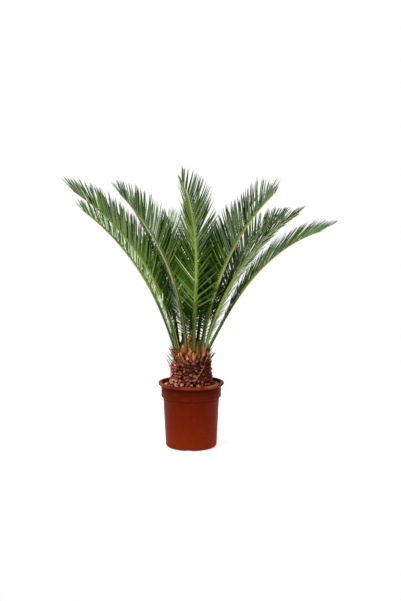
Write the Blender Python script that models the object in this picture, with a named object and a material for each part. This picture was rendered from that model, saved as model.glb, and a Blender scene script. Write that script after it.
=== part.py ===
# Potted sago palm: a nursery pot filled with compost and stones, a squat caudex armoured
# with old leaf bases, a woolly bud, and a rosette of feather fronds.
#
# Metres, +Z up, +X to the viewer's right, -Y towards the viewer. The origin is the middle of
# the pot's flat underside. Headings are degrees about +Z: 0 is +X, 90 is away from the
# viewer, -90 faces the viewer.
import math
import random
from dataclasses import dataclass

import bmesh
import bpy
from mathutils import Vector
from mathutils.bvhtree import BVHTree

UP = Vector((0, 0, 1))
GAP = 0.0003                    # left between pieces that rest on each other

# Pot: a thin turned shell with a rolled rim, a collar and a rounded foot
POT_SEGMENTS = 48
POT_RIM_RADIUS = 0.120          # a standard 24 cm nursery pot, over its rolled rim
POT_HEIGHT = 0.237
POT_WALL = 0.0025
POT_FLOOR = 0.003
POT_FOOT_RADIUS = 0.084         # edge of the flat underside
POT_FOOT_CURVE = 0.009          # radius of the rounded bottom edge
POT_WALL_TOP_RADIUS = 0.1025    # outside of the wall, just under the collar
POT_COLLAR_RADIUS = 0.1095
POT_COLLAR_FOOT = 0.180         # height where the wall starts to step out
POT_COLLAR_STEP = 0.006
POT_ROLL = 0.011                # height of the rolled rim
POT_LIP = 0.0035                # flat top of the rim, inside the roll
NOTCHES = 4                     # drain notches through the bottom edge
NOTCH_WIDTH = 0.026
NOTCH_HEIGHT = 0.007
NOTCH_DEPTH = 0.030
NOTCH_CORNER = 0.003
NOTCH_CENTRE = 0.092            # distance of a notch's middle from the axis
NOTCH_HEADING = -96
SHARP_ANGLE = 50

# Compost, heaped up to the caudex, and the stones half sunk in it
SOIL_HEIGHT = 0.229             # under the caudex
SOIL_FLAT = 0.0765              # radius of the level part there
SOIL_EDGE = 0.221               # where it meets the pot
STONES = 22
STONE_RING = (0.086, 0.095)     # nearest and furthest from the pot's axis
STONE_SIZE = (0.005, 0.0075)    # half of the smallest and of the largest
STONE_SINK = 0.0011             # height of their middles over the compost
STONE_STRAY = 0.35              # share of their spacing that their places vary by
STONE_SEED = 11

# Caudex: a barrel of crevices and scales, flat at foot and crown
CROWN_HEIGHT = 0.345
CAUDEX_FOOT_RADIUS = 0.0745
CAUDEX_BELLY = 0.0035           # how far the barrel swells past a straight taper
CAUDEX_CROWN_RADIUS = 0.064
CAUDEX_COLUMNS = 18
CAUDEX_ROWS = 11
SCALE_RELIEF = (0.004, 0.0085)
SCALE_LIFT = (0.001, 0.005)
SPINE_SHARE = 0.3               # of the upper scales, those that keep a dry spine
SPINE_FROM_ROW = 5
SPINE_INSET = 0.0055
SPINE_REACH = (0.018, 0.034)
RIM_SCALE_HEIGHT = (0.018, 0.032)
RIM_SCALE_STUMP = 0.003         # rim scales that a leaf stalk leaves no room for
RIM_SCALE_LEAN = 0.004
STALK_CLEARANCE = 0.0165        # from the middle of a stalk to any spine or rim scale
CAUDEX_SEED = 5

# Bud: a cone of woolly scales in the middle of the crown
BUD_HEIGHT = 0.066
BUD_RADIUS = 0.021
BUD_TOP_RADIUS = 0.007
BUD_TIP = 0.018
BUD_COLUMNS = 7
BUD_ROWS = 5
BUD_RELIEF = (0.0015, 0.0035)   # at the foot row and above it
BUD_LIFT = (0.003, 0.009)
BUD_SEED = 3

# Fronds: the rib
RIB_STEPS = 48
RIB_WIDTH = (0.0155, 0.0020)    # at the foot and at the tip
RIB_DEPTH = (0.0120, 0.0020)
STALK_FLARE = 1.1               # the foot of the stalk against the rib above it
STALK_STATIONS = (0.0, 0.03, 0.09)
BARE_STALK = 0.11               # share of the length below the lowest leaflets

# Fronds: the leaflets. Each table is (place up the rib, value there)
LEAFLET_PAIRS = 19
LEAFLET_LENGTH = 0.128
LEAFLET_THICKNESS = 0.0017
LEAFLET_ROOT = 0.34             # width of its root against the pitch along the rib
LEAFLET_FILL = 0.66             # blade width against the room between two leaflets
LEAFLET_BEND = 0.55             # place of the bend up each leaflet
LEAFLET_CURL = 0.10             # how far the outer half turns towards the frond's tip
LEAFLET_GROWTH = ((0.11, 0.18), (0.17, 0.36), (0.23, 0.6), (0.3, 0.8), (0.42, 1.0))
LEAFLET_LOSS_CURVE = 1.3
LEAFLET_ANGLE = ((0.11, 60), (0.2, 54), (0.35, 48), (0.6, 41), (0.85, 34), (1.0, 20))
LEAFLET_LIFT = ((0.11, 20), (0.4, 38), (0.7, 48), (1.0, 58))
LEAFLET_REACHES = (1.0, 0.86, 0.72, 0.58, 0.44)    # tried in turn until it is clear
LEAFLET_MARGIN = 0.0006


@dataclass
class Frond:
    """How one frond grows: angles in degrees, lengths in metres."""
    heading: float
    seat: float                 # where round the crown its stalk stands
    foot_rise: float            # slope of the stalk above level
    tip_rise: float
    bend: float                 # over 1, the frond bends late; under 1, early
    sway: float                 # turn of the heading towards the tip
    length: float
    roll: tuple = (0, 0)        # twist of the blade about the rib, foot and tip
    spread: float = 1.0         # how wide the leaflets stand off the rib
    tip_loss: float = 0.62      # share that the last leaflets have lost of their length
    loss_from: float = 0.70     # place where they start to shorten towards the tip
    lift: float = 1.0           # share of the usual V between the two rows of leaflets
    seat_radius: float = 0.053


# The seven fronds that face the viewer, from right to left, then the seven behind them
FRONDS = (
    Frond(-2, -4, 63, 16, 1.9, -2.5, 0.620, roll=(-5, -8), spread=0.86, tip_loss=0.35, lift=0.78,
          seat_radius=0.0565),
    Frond(-39.5, -31, 70.2, 26.9, 1.42, 4.4, 0.661, roll=(36, 52), spread=0.95, tip_loss=0.6, loss_from=0.72,
          lift=0.05),
    Frond(-55.4, -55, 72.2, 34.1, 1.26, 5.8, 0.713, spread=0.98, tip_loss=0.9, loss_from=0.86),
    Frond(-82.5, -83, 69.5, 41.5, 1.5, -34, 0.733, spread=1.15, tip_loss=0.6, loss_from=0.76),
    Frond(-131.8, -107, 87, 39.5, 0.89, -8.8, 0.666, roll=(0, 10), tip_loss=0.5, loss_from=0.74, lift=0.9),
    Frond(-161.1, -145, 78.4, 33.4, 1.115, -6.8, 0.709, spread=1.05, tip_loss=0.45),
    Frond(-168.1, -168, 73.8, 36.6, 1.22, 5.2, 0.625, roll=(0, 30), spread=0.95, seat_radius=0.056),
    Frond(164, 169, 80, 34, 1.2, -4, 0.635, lift=0.8),
    Frond(130, 146, 80, 36, 1.2, 4, 0.655),
    Frond(104, 121, 76, 30, 1.2, -6, 0.600, seat_radius=0.050),
    Frond(88, 90, 84, 44, 1.2, -4, 0.600, seat_radius=0.044),
    Frond(71, 65, 74, 25, 1.2, 4, 0.570, seat_radius=0.050),
    Frond(54, 41, 80, 33, 1.2, -5, 0.645, lift=0.8),
    Frond(27, 18, 76, 27, 1.3, 4, 0.615),
)


def polar(radius, heading, height):
    turn = math.radians(heading)
    return Vector((radius * math.cos(turn), radius * math.sin(turn), height))


def mix(ends, share):
    return ends[0] + (ends[1] - ends[0]) * share


def read(table, place):
    """The value of a table of (place, value) at one place, straight between its rows."""
    for (p0, v0), (p1, v1) in zip(table, table[1:]):
        if place <= p1:
            return v0 + (v1 - v0) * max(0.0, (place - p0) / (p1 - p0))
    return table[-1][1]


def make_material(name, colour, roughness):
    material = bpy.data.materials.new(name)
    material.use_nodes = True
    shader = material.node_tree.nodes["Principled BSDF"]
    shader.inputs["Base Color"].default_value = (*colour, 1)
    shader.inputs["Roughness"].default_value = roughness
    shader.inputs["Metallic"].default_value = 0
    return material


def add_object(name, bm, material):
    mesh = bpy.data.meshes.new(name)
    bm.to_mesh(mesh)
    bm.free()
    mesh.materials.append(material)
    made = bpy.data.objects.new(name, mesh)
    bpy.context.scene.collection.objects.link(made)
    return made


def apply_boolean(target, parts, operation):
    """Joins or cuts with a collection of helper objects, which are then removed."""
    helpers = bpy.data.collections.new(target.name + "_helpers")
    bpy.context.scene.collection.children.link(helpers)
    for part in parts:
        bpy.context.scene.collection.objects.unlink(part)
        helpers.objects.link(part)
    boolean = target.modifiers.new(operation.title(), "BOOLEAN")
    boolean.operation = operation
    boolean.operand_type = "COLLECTION"
    boolean.collection = helpers
    boolean.solver = "EXACT"
    for selected in bpy.context.selected_objects:
        selected.select_set(False)
    bpy.context.view_layer.objects.active = target
    bpy.ops.object.modifier_apply(modifier=boolean.name)
    for part in parts:
        bpy.data.objects.remove(part)
    bpy.data.collections.remove(helpers)


# Pot and compost

def pot_wall(height):
    """Outside radius of the straight wall at a height."""
    foot = POT_FOOT_RADIUS + POT_FOOT_CURVE
    return mix((foot, POT_WALL_TOP_RADIUS), height / POT_COLLAR_FOOT)


def pot_inside(gap):
    """Inner profile from the floor's middle up to the rim, held back by a gap."""
    step_out = POT_COLLAR_RADIUS - POT_WALL
    return [
        (0, POT_FLOOR + gap),
        (POT_FOOT_RADIUS - gap, POT_FLOOR + gap),
        (pot_wall(POT_FOOT_CURVE) - POT_WALL - gap, POT_FLOOR + POT_FOOT_CURVE + gap),
        (pot_wall(POT_COLLAR_FOOT) - POT_WALL - gap, POT_COLLAR_FOOT + gap),
        (step_out - gap, POT_COLLAR_FOOT + POT_COLLAR_STEP + gap),
    ]


def pot_outside():
    """Outer profile from the top of the rim down to the middle of the underside."""
    roll_foot = POT_HEIGHT - POT_ROLL
    roll_middle = POT_HEIGHT - POT_ROLL / 2
    roll_centre = POT_RIM_RADIUS - POT_ROLL / 2
    profile = [(POT_COLLAR_RADIUS - POT_WALL, roll_middle), (roll_centre - POT_LIP, POT_HEIGHT)]
    for turn in (70, 35, 0, -35, -70):
        out = POT_ROLL / 2 * math.cos(math.radians(turn))
        up = POT_ROLL / 2 * math.sin(math.radians(turn))
        profile.append((roll_centre + out, roll_middle + up))
    profile += [
        (POT_COLLAR_RADIUS, roll_foot),
        (POT_COLLAR_RADIUS, POT_COLLAR_FOOT + POT_COLLAR_STEP),
        (POT_WALL_TOP_RADIUS, POT_COLLAR_FOOT),
    ]
    for turn in (0, 30, 60, 90):
        out = POT_FOOT_CURVE * math.cos(math.radians(turn))
        down = POT_FOOT_CURVE * math.sin(math.radians(turn))
        profile.append((POT_FOOT_RADIUS + out, POT_FOOT_CURVE - down))
    profile.append((0, 0))
    return profile


def turned(name, profile, material):
    """A solid of revolution: the profile runs up the inside and down the outside."""
    bm = bmesh.new()
    verts = [bm.verts.new((radius, 0, height)) for radius, height in profile]
    for a, b in zip(verts, verts[1:]):
        bm.edges.new((a, b))
    made = add_object(name, bm, material)
    screw = made.modifiers.new("Turn", "SCREW")
    screw.steps = screw.render_steps = POT_SEGMENTS
    screw.use_merge_vertices = True
    screw.merge_threshold = 0.00001
    bpy.context.view_layer.objects.active = made
    bpy.ops.object.modifier_apply(modifier=screw.name)
    made.data.shade_smooth()
    made.data.set_sharp_from_angle(angle=math.radians(SHARP_ANGLE))
    return made


def make_pot():
    plastic = make_material("terracotta plastic", (0.23, 0.03, 0.012), 0.38)
    pot = turned("pot", pot_inside(0) + pot_outside(), plastic)
    cutters = []
    for i in range(NOTCHES):
        heading = NOTCH_HEADING + 360 * i / NOTCHES
        bm = bmesh.new()
        bmesh.ops.create_cube(bm, size=1)
        bmesh.ops.scale(bm, verts=bm.verts, vec=(NOTCH_DEPTH, NOTCH_WIDTH, 2 * NOTCH_HEIGHT))
        inward = [edge for edge in bm.edges if abs(edge.verts[0].co.x - edge.verts[1].co.x) > NOTCH_DEPTH / 2]
        bmesh.ops.bevel(bm, geom=inward, offset=NOTCH_CORNER, segments=2, affect="EDGES", profile=0.5)
        cutter = add_object(f"notch_cutter_{i}", bm, plastic)
        cutter.location = polar(NOTCH_CENTRE, heading, 0)
        cutter.rotation_euler = (0, 0, math.radians(heading))
        cutter.hide_render = True
        cutter.display_type = "WIRE"
        cutters.append(cutter)
    apply_boolean(pot, cutters, "DIFFERENCE")


def make_compost():
    """The filling, level under the caudex, with stones fused half sunk round it."""
    earth = make_material("compost", (0.06, 0.04, 0.025), 0.95)
    inside = pot_inside(GAP)
    top = [(0, SOIL_HEIGHT - GAP), (SOIL_FLAT, SOIL_HEIGHT - GAP), (inside[-1][0], SOIL_EDGE)]
    compost = turned("compost", top + inside[::-1], earth)
    rng = random.Random(STONE_SEED)
    stones = []
    for i in range(STONES):
        bm = bmesh.new()
        size = mix(STONE_SIZE, rng.random())
        bmesh.ops.create_icosphere(bm, subdivisions=1, radius=size)
        squash = (mix((0.8, 1.0), rng.random()), 1, mix((0.6, 0.9), rng.random()))
        bmesh.ops.scale(bm, verts=bm.verts, vec=squash)
        stone = add_object(f"stone_{i}", bm, earth)
        heading = 360 * (i + STONE_STRAY * rng.random()) / STONES
        radius = mix(STONE_RING, rng.random())
        slope = (radius - SOIL_FLAT) / (inside[-1][0] - SOIL_FLAT)
        stone.location = polar(radius, heading, mix((SOIL_HEIGHT, SOIL_EDGE), slope) + STONE_SINK)
        stone.rotation_euler = (0, 0, rng.uniform(0, math.pi))
        stones.append(stone)
    apply_boolean(compost, stones, "UNION")


# Caudex and bud

def scaled_body(name, profile, columns, rows, dress, material, tip=0.0):
    """A closed turned body whose side is a lattice of diamond cells; dress shapes each.

    Its top is flat, or drawn up to a tip of the given height."""
    bm = bmesh.new()
    steps = 2 * columns
    knots = {}
    for row in range(rows + 1):
        radius, height = profile(row / rows)
        for step in range(steps):
            if (step + row) % 2:
                knots[step, row] = bm.verts.new(polar(radius, 360 * step / steps, height))
    cells = []
    for row in range(rows + 1):
        for step in range(row % 2, steps, 2):
            around = ((step, row - 1), (step + 1, row), (step, row + 1), (step - 1, row))
            corners = [knots[s % steps, r] for s, r in around if 0 <= r <= rows]
            cells.append((row, bm.faces.new(corners)))
    for row, order in ((0, -1), (rows, 1)):
        ring = [knots[step, row] for step in range(steps) if (step + row) % 2]
        cap = bm.faces.new(ring[::order])
    if tip:
        pull_peak(bm, cap, 0, tip)
    for row, cell in cells:
        dress(bm, row, cell)
    bmesh.ops.triangulate(bm, faces=bm.faces)
    return add_object(name, bm, material)


def pull_peak(bm, cell, outward, lift):
    """Raises the middle of a cell to a peak."""
    centre = cell.calc_center_median()
    away = Vector((centre.x, centre.y, 0)).normalized()
    peak = bmesh.ops.poke(bm, faces=[cell])["verts"][0]
    peak.co = centre + away * outward + UP * lift


def caudex_profile(share):
    radius = mix((CAUDEX_FOOT_RADIUS, CAUDEX_CROWN_RADIUS), share)
    return radius + CAUDEX_BELLY * math.sin(math.pi * share), mix((SOIL_HEIGHT, CROWN_HEIGHT), share)


def make_caudex(ribs):
    bark = make_material("old leaf bases", (0.17, 0.07, 0.06), 0.85)
    rng = random.Random(CAUDEX_SEED)

    def has_room(start, tip):
        """Whether a spine or rim scale stays clear of every stalk."""
        reach = [start.lerp(tip, share) for share in (0.4, 0.7, 1.0)]
        stalks = [rib.at(BARE_STALK * i / 16)[0] for rib in ribs for i in range(17)]
        return all((a - b).length > STALK_CLEARANCE for a in reach for b in stalks)

    def dress(bm, row, cell):
        centre = cell.calc_center_median()
        away = Vector((centre.x, centre.y, 0)).normalized()
        relief = mix(SCALE_RELIEF, rng.random())
        lift = mix(SCALE_LIFT, rng.random())
        if row == CAUDEX_ROWS:
            height = mix(RIM_SCALE_HEIGHT, rng.random())
            if not has_room(centre, centre + away * RIM_SCALE_LEAN + UP * height):
                height = RIM_SCALE_STUMP
            pull_peak(bm, cell, RIM_SCALE_LEAN, height)
        elif SPINE_FROM_ROW <= row < CAUDEX_ROWS - 1 and rng.random() < SPINE_SHARE:
            reach = mix(SPINE_REACH, rng.random())
            slope = math.radians(rng.uniform(40, 60))
            tip = away * reach * math.cos(slope) + UP * reach * math.sin(slope)
            if has_room(centre, centre + away * relief + tip):
                bmesh.ops.inset_individual(bm, faces=[cell], thickness=SPINE_INSET, depth=relief)
                pull_peak(bm, cell, reach * math.cos(slope), reach * math.sin(slope))
            else:
                pull_peak(bm, cell, relief, lift)
        elif row == 0:
            pull_peak(bm, cell, relief / 2, lift / 2)
        else:
            pull_peak(bm, cell, relief, lift)

    scaled_body("caudex", caudex_profile, CAUDEX_COLUMNS, CAUDEX_ROWS, dress, bark)


def make_bud():
    wool = make_material("woolly scales", (0.52, 0.22, 0.06), 0.95)
    rng = random.Random(BUD_SEED)
    foot = CROWN_HEIGHT + GAP

    def profile(share):
        return mix((BUD_RADIUS, BUD_TOP_RADIUS), share ** 1.5), foot + BUD_HEIGHT * share

    def dress(bm, row, cell):
        pull_peak(bm, cell, BUD_RELIEF[min(row, 1)], mix(BUD_LIFT, rng.random()))

    scaled_body("bud", profile, BUD_COLUMNS, BUD_ROWS, dress, wool, tip=BUD_TIP)


# Fronds

class Rib:
    """The bent rib of one frond, walked from its foot in short steps."""

    def __init__(self, plan):
        self.plan = plan
        step = plan.length / RIB_STEPS
        self.points = [polar(plan.seat_radius, plan.seat, CROWN_HEIGHT + GAP)]
        for i in range(RIB_STEPS):
            self.points.append(self.points[-1] + self.along((i + 0.5) / RIB_STEPS) * step)

    def along(self, place):
        plan = self.plan
        rise = math.radians(mix((plan.foot_rise, plan.tip_rise), place ** plan.bend))
        heading = plan.heading + plan.sway * place ** 2
        return polar(math.cos(rise), heading, math.sin(rise))

    def at(self, place):
        """Point, direction, upper side and right-hand side at a place from 0 to 1."""
        step = min(int(place * RIB_STEPS), RIB_STEPS - 1)
        point = self.points[step].lerp(self.points[step + 1], place * RIB_STEPS - step)
        along = self.along(place)
        over = (UP - along * along.z).normalized()
        right = along.cross(over)
        roll = math.radians(mix(self.plan.roll, place))
        return (point, along, over * math.cos(roll) + right * math.sin(roll),
                right * math.cos(roll) - over * math.sin(roll))

    def ring(self, place):
        """The four corners of the rib's section, right upper first and then round."""
        point, along, over, right = self.at(place)
        flare = STALK_FLARE if place == 0 else 1
        wide = right * flare * mix(RIB_WIDTH, place ** 0.9) / 2
        deep = over * flare * mix(RIB_DEPTH, place) / 2
        corners = [point + wide + deep, point - wide + deep, point - wide - deep, point + wide - deep]
        if place == 0:
            floor = point.z
            corners = [corner - along * ((corner.z - floor) / along.z) for corner in corners]
        return corners

    def root(self, place, side):
        """The side face that a leaflet grows from: head upper, foot upper and then round."""
        foot, head = self.ring(place[0]), self.ring(place[1])
        upper, lower = (0, 3) if side == 1 else (1, 2)
        return [head[upper], foot[upper], foot[lower], head[lower]]

    def leaflet(self, place, side, reach, margin=0.0):
        """Bend section and tip of one leaflet; side is 1 for right and -1 for left."""
        point, along, over, right = self.at(place)
        angle = math.radians(read(LEAFLET_ANGLE, place) * self.plan.spread)
        lift = math.radians(read(LEAFLET_LIFT, place) * self.plan.lift)
        off = right * side * math.cos(lift) + over * math.sin(lift)
        out = along * math.cos(angle) + off * math.sin(angle)
        loss = max(0.0, (place - self.plan.loss_from) / (1 - self.plan.loss_from))
        size = read(LEAFLET_GROWTH, place) * (1 - self.plan.tip_loss * loss ** LEAFLET_LOSS_CURVE)
        length = LEAFLET_LENGTH * size * reach
        bend = point + out * length * LEAFLET_BEND
        tip = bend + (out + along * LEAFLET_CURL).normalized() * (length * (1 - LEAFLET_BEND) + margin)
        room = self.plan.length * (1 - BARE_STALK) / LEAFLET_PAIRS * math.sin(angle)
        across = (along - out * along.dot(out)).normalized()
        thick = across.cross(out)
        if thick.dot(over) < 0:
            thick = -thick
        wide = across * (room * LEAFLET_FILL / 2 + margin)
        deep = thick * (LEAFLET_THICKNESS / 2 + margin)
        return [bend + wide + deep, bend - wide + deep, bend - wide - deep, bend + wide - deep], tip


def leaflet_places():
    """Foot and head of every leaflet's root up the rib."""
    pitch = (1 - BARE_STALK) / LEAFLET_PAIRS
    feet = [BARE_STALK + pitch * i for i in range(LEAFLET_PAIRS)]
    return [(foot, foot + LEAFLET_ROOT * pitch) for foot in feet]


def stations():
    """Every place up the rib that has a section of its own."""
    return [*STALK_STATIONS, *(end for place in leaflet_places() for end in place), 1.0]


def shell(corner_rings, tip=None):
    """Points and faces of a four-sided tube, closed to a tip where one is given."""
    points = [corner for ring in corner_rings for corner in ring]
    faces = []
    for i in range(len(corner_rings) - 1):
        for k in range(4):
            a, b = 4 * i + k, 4 * i + (k + 1) % 4
            faces.append((a, b, b + 4, a + 4))
    if tip is not None:
        last = 4 * (len(corner_rings) - 1)
        points.append(tip)
        faces += [(last + k, last + (k + 1) % 4, len(points) - 1) for k in range(4)]
    return points, faces


class Thicket:
    """Everything that a new leaflet has to stay clear of."""

    def __init__(self):
        self.points = []
        self.faces = []

    def add(self, points, faces):
        first = len(self.points)
        self.points += points
        self.faces += [tuple(first + i for i in face) for face in faces]

    def tree(self):
        return BVHTree.FromPolygons(self.points, self.faces)


def choose_reaches(ribs):
    """How long each leaflet may be, so that none touches another frond."""
    leaves = [Thicket() for _ in ribs]
    chosen = []
    for own, rib in enumerate(ribs):
        others = Thicket()
        for i, other in enumerate(ribs):
            if i != own:
                others.add(*shell([other.ring(place) for place in stations()]))
                others.add(leaves[i].points, leaves[i].faces)
        tree = others.tree()
        reaches = {}
        for place in leaflet_places():
            for side in (1, -1):
                for reach in LEAFLET_REACHES:
                    bend, tip = rib.leaflet(sum(place) / 2, side, reach, LEAFLET_MARGIN)
                    points, faces = shell([rib.root(place, side), bend], tip)
                    if not tree.overlap(BVHTree.FromPolygons(points, faces)):
                        reaches[place, side] = reach
                        leaves[own].add(points, faces)
                        break
        chosen.append(reaches)
    return chosen


def make_frond(name, rib, reaches, material):
    """One closed blade: a four-sided rib whose side faces are drawn out to leaflets."""
    bm = bmesh.new()
    places = stations()
    rings = [[bm.verts.new(corner) for corner in rib.ring(place)] for place in places]
    roots = {}
    for i, (low, high) in enumerate(zip(rings, rings[1:])):
        for k in range(4):
            face = bm.faces.new((low[(k + 1) % 4], low[k], high[k], high[(k + 1) % 4]))
            side = {3: 1, 1: -1}.get(k)
            if side and ((places[i], places[i + 1]), side) in reaches:
                roots[face] = (places[i], places[i + 1]), side
    bm.faces.new(rings[0])
    bm.faces.new(rings[-1][::-1])
    for root, (place, side) in roots.items():
        middle = sum(place) / 2
        bend, tip = rib.leaflet(middle, side, reaches[place, side])
        along, over = rib.at(middle)[1:3]
        centre = root.calc_center_median()
        face = bmesh.ops.extrude_discrete_faces(bm, faces=[root])["faces"][0]
        for vert in face.verts:
            ahead = (vert.co - centre).dot(along) > 0
            above = (vert.co - centre).dot(over) > 0
            vert.co = bend[{(1, 1): 0, (0, 1): 1, (0, 0): 2, (1, 0): 3}[ahead, above]]
        face = bmesh.ops.extrude_discrete_faces(bm, faces=[face])["faces"][0]
        bmesh.ops.pointmerge(bm, verts=face.verts[:], merge_co=tip)
    bmesh.ops.triangulate(bm, faces=bm.faces)
    add_object(name, bm, material)


def main():
    for old in list(bpy.data.objects):
        bpy.data.objects.remove(old)
    ribs = [Rib(plan) for plan in FRONDS]
    make_pot()
    make_compost()
    make_caudex(ribs)
    make_bud()
    green = make_material("leaf green", (0.05, 0.13, 0.025), 0.45)
    for i, (rib, reaches) in enumerate(zip(ribs, choose_reaches(ribs)), start=1):
        make_frond(f"frond_{i:02d}", rib, reaches, green)


main()
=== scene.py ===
import math
import random

import bmesh
import bpy
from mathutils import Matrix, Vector, noise
from mathutils.bvhtree import BVHTree


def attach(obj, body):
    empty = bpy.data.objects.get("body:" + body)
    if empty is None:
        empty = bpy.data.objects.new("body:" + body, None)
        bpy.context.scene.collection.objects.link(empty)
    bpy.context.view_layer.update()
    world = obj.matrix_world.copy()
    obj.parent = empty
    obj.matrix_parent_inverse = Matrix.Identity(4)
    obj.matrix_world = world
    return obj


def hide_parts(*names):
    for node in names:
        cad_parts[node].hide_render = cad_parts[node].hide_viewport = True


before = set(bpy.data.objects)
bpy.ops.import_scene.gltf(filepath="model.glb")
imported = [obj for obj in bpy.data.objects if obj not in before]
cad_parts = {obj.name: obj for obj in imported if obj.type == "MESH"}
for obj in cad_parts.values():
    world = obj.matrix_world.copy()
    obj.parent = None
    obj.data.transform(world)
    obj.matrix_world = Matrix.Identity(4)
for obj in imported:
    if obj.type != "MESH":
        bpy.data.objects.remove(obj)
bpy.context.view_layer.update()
up = Vector((0, 0, 1))
goldenTurn = 137.508            # degrees from one leaf base to the next round a stem


# Small sums

def polar(radius, heading, height):
    turn = math.radians(heading)
    return Vector((radius * math.cos(turn), radius * math.sin(turn), height))


def aimed(heading, slope):          # a direction, slope being its degrees above level
    turn = math.radians(slope)
    return polar(math.cos(turn), heading, math.sin(turn))


def mix(ends, share):
    return ends[0] + (ends[1] - ends[0]) * share


def readTable(table, place):    # table rows are (place, value), read straight between rows
    for (p0, v0), (p1, v1) in zip(table, table[1:]):
        if place <= p1:
            return v0 + (v1 - v0) * max(0.0, (place - p0) / (p1 - p0))
    return table[-1][1]


def paint(red, green, blue):    # a colour as a picture shows it, 0 to 255, to the shader's scale
    scaled = [value / 255 for value in (red, green, blue)]
    return tuple(v / 12.92 if v <= 0.04045 else ((v + 0.055) / 1.055) ** 2.4 for v in scaled)


def toned(colour, share):
    return tuple(min(1.0, share * value) for value in colour)


# Materials

class Wire:
    # an output of a shader node, on which maths is written as plain expressions
    def __init__(self, finish, socket):
        self.finish = finish
        self.socket = socket

    def maths(self, operation, *values):
        return self.finish.add("Math", {"operation": operation}, dict(enumerate(values)))

    def __add__(self, other):
        return self.maths("ADD", self, other)

    def __mul__(self, other):
        return self.maths("MULTIPLY", self, other)

    __radd__ = __add__
    __rmul__ = __mul__


class Finish:
    # one material: fixed values go straight on its shader, varying ones come through wires
    def __init__(self, name, fixed):
        self.material = bpy.data.materials.new(name)
        self.material.use_nodes = True
        self.tree = self.material.node_tree
        self.shader = self.tree.nodes["Principled BSDF"]
        self.fill(self.shader, fixed)
        self.place = self.add("TexCoord", {}, {}, "Object")

    def fill(self, node, values):
        for name, value in values.items():
            socket = node.inputs[name]
            if isinstance(value, Wire):
                self.tree.links.new(value.socket, socket)
            elif socket.type == "RGBA":
                socket.default_value = (*value, 1)
            else:
                socket.default_value = value

    def add(self, kind, settings, values, output=0):
        node = self.tree.nodes.new("ShaderNode" + kind)
        for name, value in settings.items():
            setattr(node, name, value)
        self.fill(node, values)
        return Wire(self, node.outputs[output])

    def stretched(self, x, y, z):
        return self.add("Mapping", {}, {"Vector": self.place, "Scale": (x, y, z)})

    def grain(self, size, detail=3.0, place=None):      # noise from 0 to 1, size in metres
        values = {"Vector": place or self.place, "Scale": 1 / size, "Detail": detail}
        return self.add("TexNoise", {}, values, "Fac")

    def cells(self, size):                              # distance to the nearest cell's middle
        return self.add("TexVoronoi", {}, {"Vector": self.place, "Scale": 1 / size}, "Distance")

    def fade(self, factor, *stops):                     # stops are (place, value from 0 to 1)
        wire = self.add("ValToRGB", {}, {"Fac": factor})
        elements = wire.socket.node.color_ramp.elements
        elements[0].position, elements[1].position = stops[0][0], stops[-1][0]
        for place, _ in stops[1:-1]:
            elements.new(place)
        for element, (_, grey) in zip(elements, stops):
            element.color = (grey, grey, grey, 1)
        return wire

    def blend(self, factor, first, second):
        return self.add("Mix", {"data_type": "RGBA"}, {0: factor, 6: first, 7: second}, 2)

    def bump(self, height, strength, distance):
        relief = self.add("Bump", {}, {"Height": height, "Strength": strength, "Distance": distance})
        self.fill(self.shader, {"Normal": relief})

    def mottle(self, pattern, dark, light, edges=None, roughness=None, bump=None):
        # two colours, and if given a roughness and a relief, that all follow one pattern
        share = self.fade(pattern, (edges[0], 0), (edges[1], 1)) if edges else pattern
        self.fill(self.shader, {"Base Color": self.blend(share, dark, light)})
        if roughness:
            self.fill(self.shader, {"Roughness": roughness[0] + roughness[1] * pattern})
        if bump:
            self.bump(pattern, *bump)
        return self


# Shapes

def circle(middle, right, above, radius, around):
    turns = [2 * math.pi * k / around for k in range(around)]
    return [middle + (right * math.cos(turn) + above * math.sin(turn)) * radius for turn in turns]


def squarish(around, power):        # corners of a circle that a power under 1 makes squarer
    for k in range(around):
        turn = 2 * math.pi * k / around
        x, y = math.cos(turn), math.sin(turn)
        yield math.copysign(abs(x) ** power, x), math.copysign(abs(y) ** power, y)


def addObject(name, data):
    added = bpy.data.objects.new(name, data)
    bpy.context.scene.collection.objects.link(added)
    return added


class Heap:
    # the points and faces of many small closed shapes that become one piece
    def __init__(self):
        self.points = []
        self.faces = []
        self.slots = []

    def addTube(self, rings, slotAt, tip=None):     # slotAt(step, corner) picks the material
        around = len(rings[0])
        first = len(self.points)
        for ring in rings:
            self.points += ring
        self.faces.append(tuple(range(first + around - 1, first - 1, -1)))
        self.slots.append(slotAt(0, 0))
        for step in range(len(rings) - 1):
            for corner in range(around):
                low = first + step * around + corner
                next_ = first + step * around + (corner + 1) % around
                self.faces.append((low, next_, next_ + around, low + around))
                self.slots.append(slotAt(step, corner))
        last = first + (len(rings) - 1) * around
        if tip is None:
            self.faces.append(tuple(range(last, last + around)))
            self.slots.append(slotAt(len(rings) - 1, 0))
        else:
            self.points.append(tip)
            for corner in range(around):
                self.faces.append((last + corner, last + (corner + 1) % around, len(self.points) - 1))
                self.slots.append(slotAt(len(rings) - 1, corner))

    def makePiece(self, name, finishes, node, sharpAngle=60):
        mesh = bpy.data.meshes.new(name)
        mesh.from_pydata([tuple(point) for point in self.points], [], self.faces)
        mesh.polygons.foreach_set("material_index", self.slots)
        bm = bmesh.new()
        bm.from_mesh(mesh)
        bmesh.ops.recalc_face_normals(bm, faces=bm.faces)
        bm.to_mesh(mesh)
        bm.free()
        finishPiece(addObject(name, mesh), finishes, node, sharpAngle)


def selectOnly(piece):
    bpy.ops.object.select_all(action="DESELECT")
    piece.select_set(True)
    bpy.context.view_layer.objects.active = piece


def finishPiece(piece, finishes, node, sharpAngle):
    for finish in finishes:
        piece.data.materials.append(finish.material)
    selectOnly(piece)
    bpy.ops.object.shade_smooth_by_angle(angle=math.radians(sharpAngle))
    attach(piece, "root")
    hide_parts(node)
    print("made", piece.name, len(piece.data.polygons), "faces")


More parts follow.
